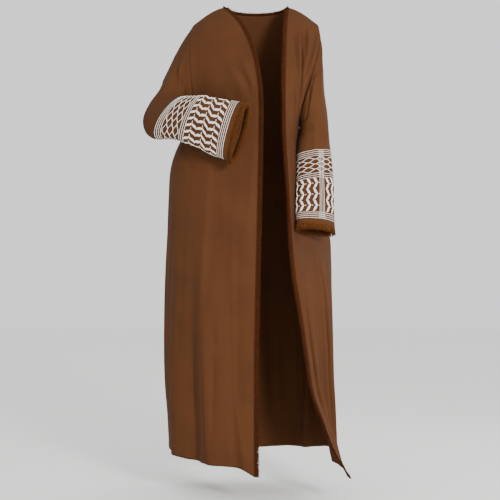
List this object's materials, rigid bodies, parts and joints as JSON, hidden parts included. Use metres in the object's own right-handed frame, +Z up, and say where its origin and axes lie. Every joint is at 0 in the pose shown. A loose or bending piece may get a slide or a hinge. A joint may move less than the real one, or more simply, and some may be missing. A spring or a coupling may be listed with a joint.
{
  "type": "open-front abaya",
  "caption": "A long open-front abaya in brown crepe, worn with one arm bent across the waist, with patterned sleeve bands and a short brush fringe along the fronts and cuffs.",
  "frame": {"origin": "midway between the two side-neck points, at the level where the shoulders carry the garment", "axes": "+Z up, the front of the garment faces -Y, the wearer's left is on +X"},
  "size_m": [0.6048, 0.4173, 1.3954],
  "materials": {
    "crepe": "matte crepe with a soft sheen, woven pattern in off-white thread on the sleeves",
    "fringe": "soft brush fringe of twisted yarn"
  },
  "bodies": {
    "root": {"back": "crepe", "front_right": "crepe", "front_left": "crepe", "sleeve_right": "crepe", "sleeve_left": "crepe", "fringe_front_right": "fringe", "fringe_front_left": "fringe", "fringe_neck": "fringe", "fringe_cuff_right": "fringe", "fringe_cuff_left": "fringe"}
  },
  "joints": []
}
